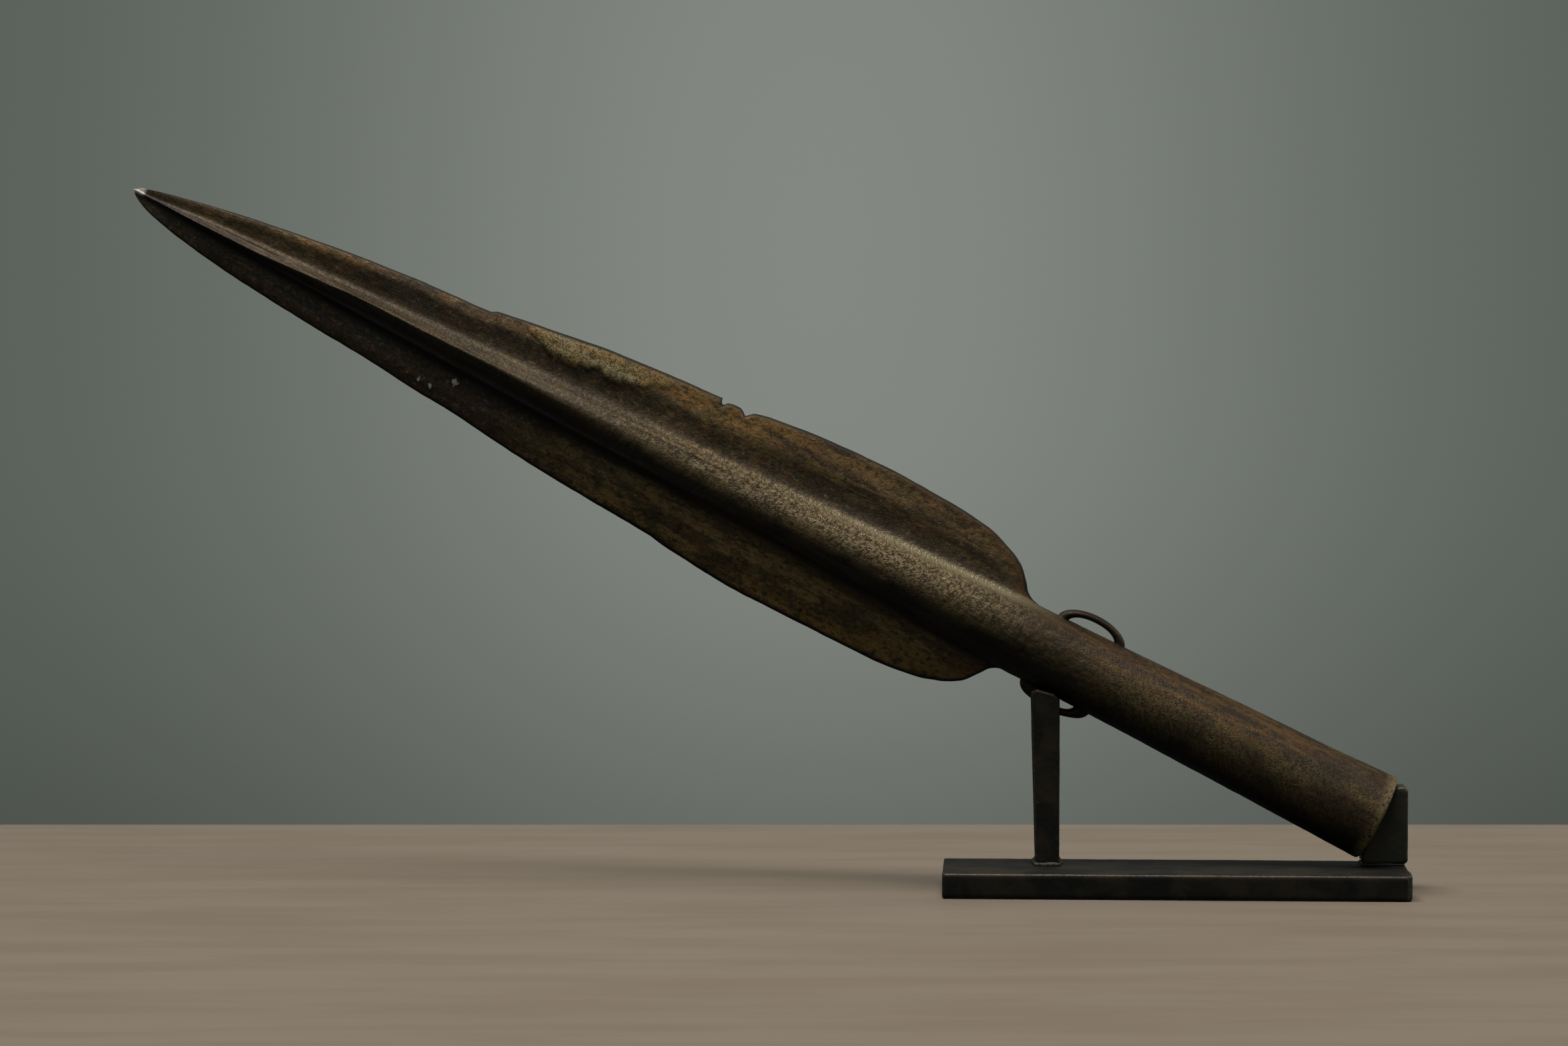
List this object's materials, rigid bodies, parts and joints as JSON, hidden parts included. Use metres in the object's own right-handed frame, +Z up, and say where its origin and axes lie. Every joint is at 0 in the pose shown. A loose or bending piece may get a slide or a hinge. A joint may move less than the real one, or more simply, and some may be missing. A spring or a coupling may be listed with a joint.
{
  "type": "socketed bronze spearhead on display stand",
  "caption": "Bronze Age leaf-shaped socketed spearhead with side loops, held tip-up on a small black steel stand with forked post and mouth bracket.",
  "frame": {"origin": "centre of the base bar's underside", "axes": "+X along the base bar towards the socket mouth, +Y towards the back, +Z up; the spearhead's plane is parallel to XZ"},
  "size_m": [0.3007, 0.032, 0.1652],
  "materials": {
    "bronze": "dark brown-black patina with golden worn metal and ochre corrosion, semi-matt",
    "stand_steel": "blackened steel, satin, rubbed grey on edges and top faces"
  },
  "bodies": {
    "root": {"spearhead": "bronze", "base_bar": "stand_steel", "neck_post": "stand_steel", "mouth_bracket": "stand_steel"}
  },
  "joints": []
}
